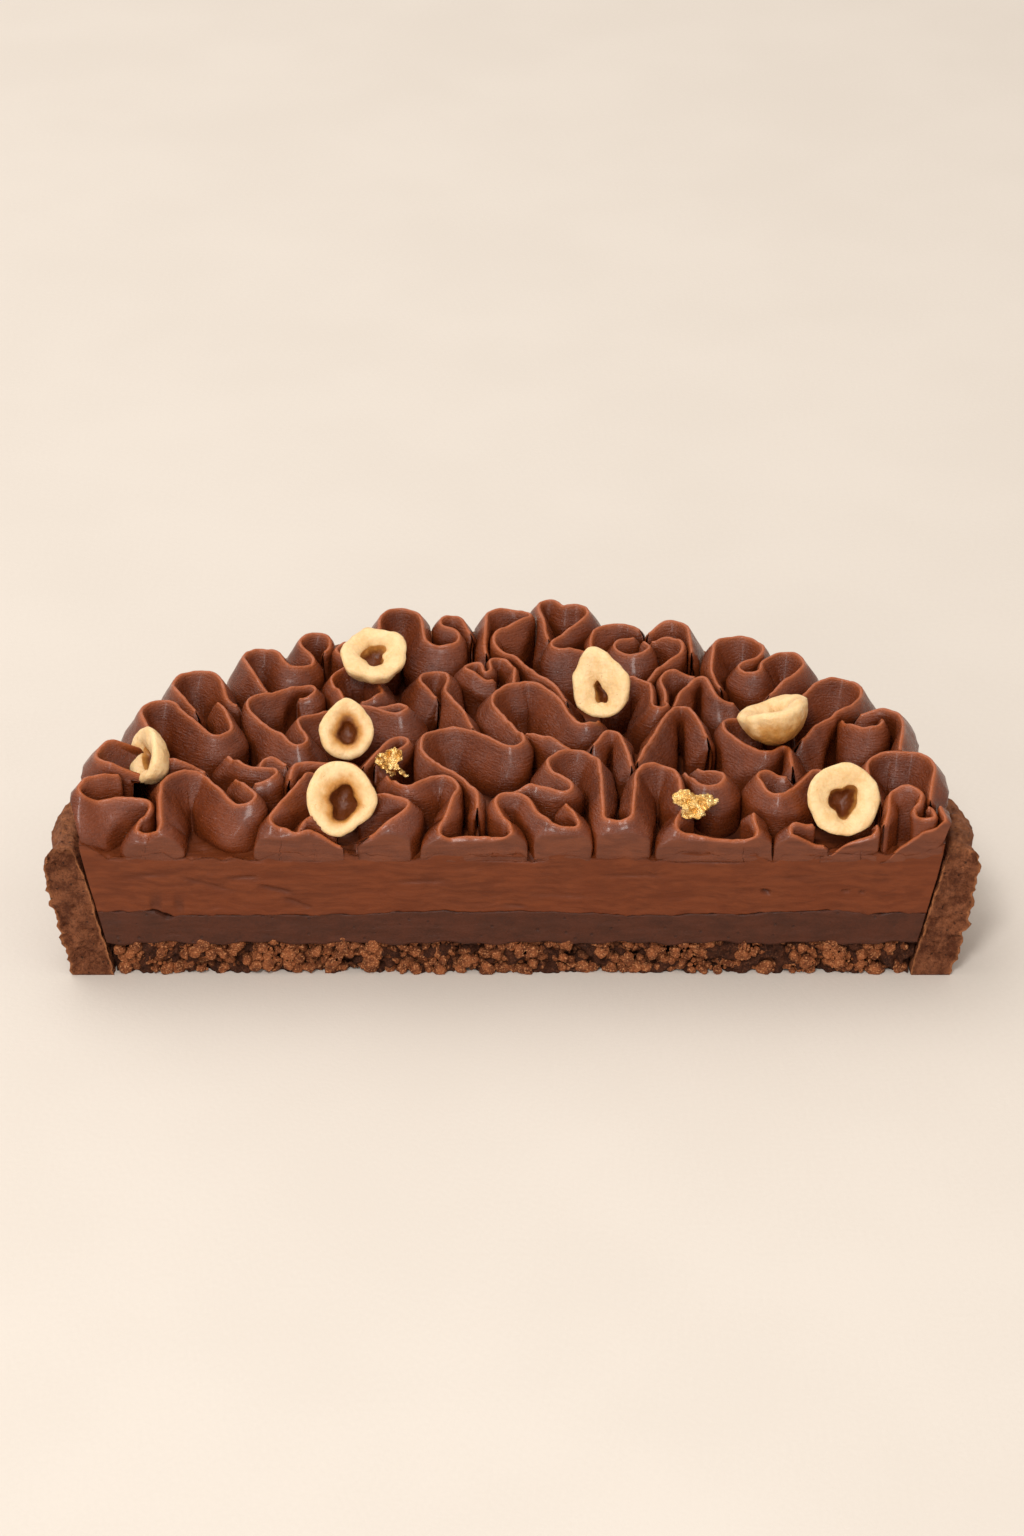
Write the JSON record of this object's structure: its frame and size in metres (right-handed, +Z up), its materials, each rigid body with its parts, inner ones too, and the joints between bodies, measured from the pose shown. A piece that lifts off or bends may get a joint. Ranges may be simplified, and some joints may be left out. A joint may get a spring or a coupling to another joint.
{
  "type": "chocolate tart",
  "caption": "Half of a round chocolate tart with a fluted crust, crumb base, dark and milk chocolate layers, piped ruffles and hazelnut halves.",
  "frame": {"origin": "middle of the underside of the bounding box, on the surface the tart stands on", "axes": "+X along the cut face, +Y from the cut face towards the round back, +Z up"},
  "size_m": [0.2008, 0.101, 0.0515],
  "materials": {
    "crust": "dark cocoa shortcrust, dry and porous",
    "crumb": "baked crumb, coarse and matte",
    "ganache": "dark chocolate ganache, fine grained, matte to satin",
    "cream": "milk chocolate cream, smooth satin",
    "hazelnut": "toasted skinned hazelnut, waxy satin",
    "gold_leaf": "thin crumpled gold leaf"
  },
  "bodies": {
    "root": {"crust_wall": "crust", "crumb_base": "crumb", "dark_ganache": "ganache", "milk_cream": "cream", "ribbon_01": "cream", "ribbon_02": "cream", "ribbon_03": "cream", "ribbon_04": "cream", "ribbon_05": "cream", "ribbon_06": "cream", "ribbon_07": "cream", "ribbon_08": "cream", "ribbon_09": "cream", "ribbon_10": "cream", "ribbon_11": "cream", "ribbon_12": "cream", "ribbon_13": "cream", "ribbon_14": "cream", "ribbon_15": "cream", "ribbon_16": "cream", "ribbon_17": "cream", "ribbon_18": "cream", "ribbon_19": "cream", "ribbon_20": "cream", "ribbon_21": "cream", "ribbon_22": "cream", "ribbon_23": "cream", "ribbon_24": "cream", "ribbon_25": "cream", "ribbon_26": "cream", "ribbon_27": "cream", "ribbon_28": "cream", "ribbon_29": "cream", "ribbon_30": "cream", "ribbon_31": "cream", "ribbon_32": "cream", "ribbon_33": "cream", "ribbon_34": "cream", "ribbon_35": "cream", "ribbon_36": "cream", "ribbon_37": "cream", "ribbon_38": "cream", "ribbon_39": "cream", "ribbon_40": "cream", "ribbon_41": "cream", "ribbon_42": "cream", "ribbon_43": "cream", "ribbon_44": "cream", "ribbon_45": "cream", "hazelnut_1": "hazelnut", "hazelnut_2": "hazelnut", "hazelnut_3": "hazelnut", "hazelnut_4": "hazelnut", "hazelnut_5": "hazelnut", "hazelnut_6": "hazelnut", "hazelnut_7": "hazelnut"}
  },
  "joints": []
}
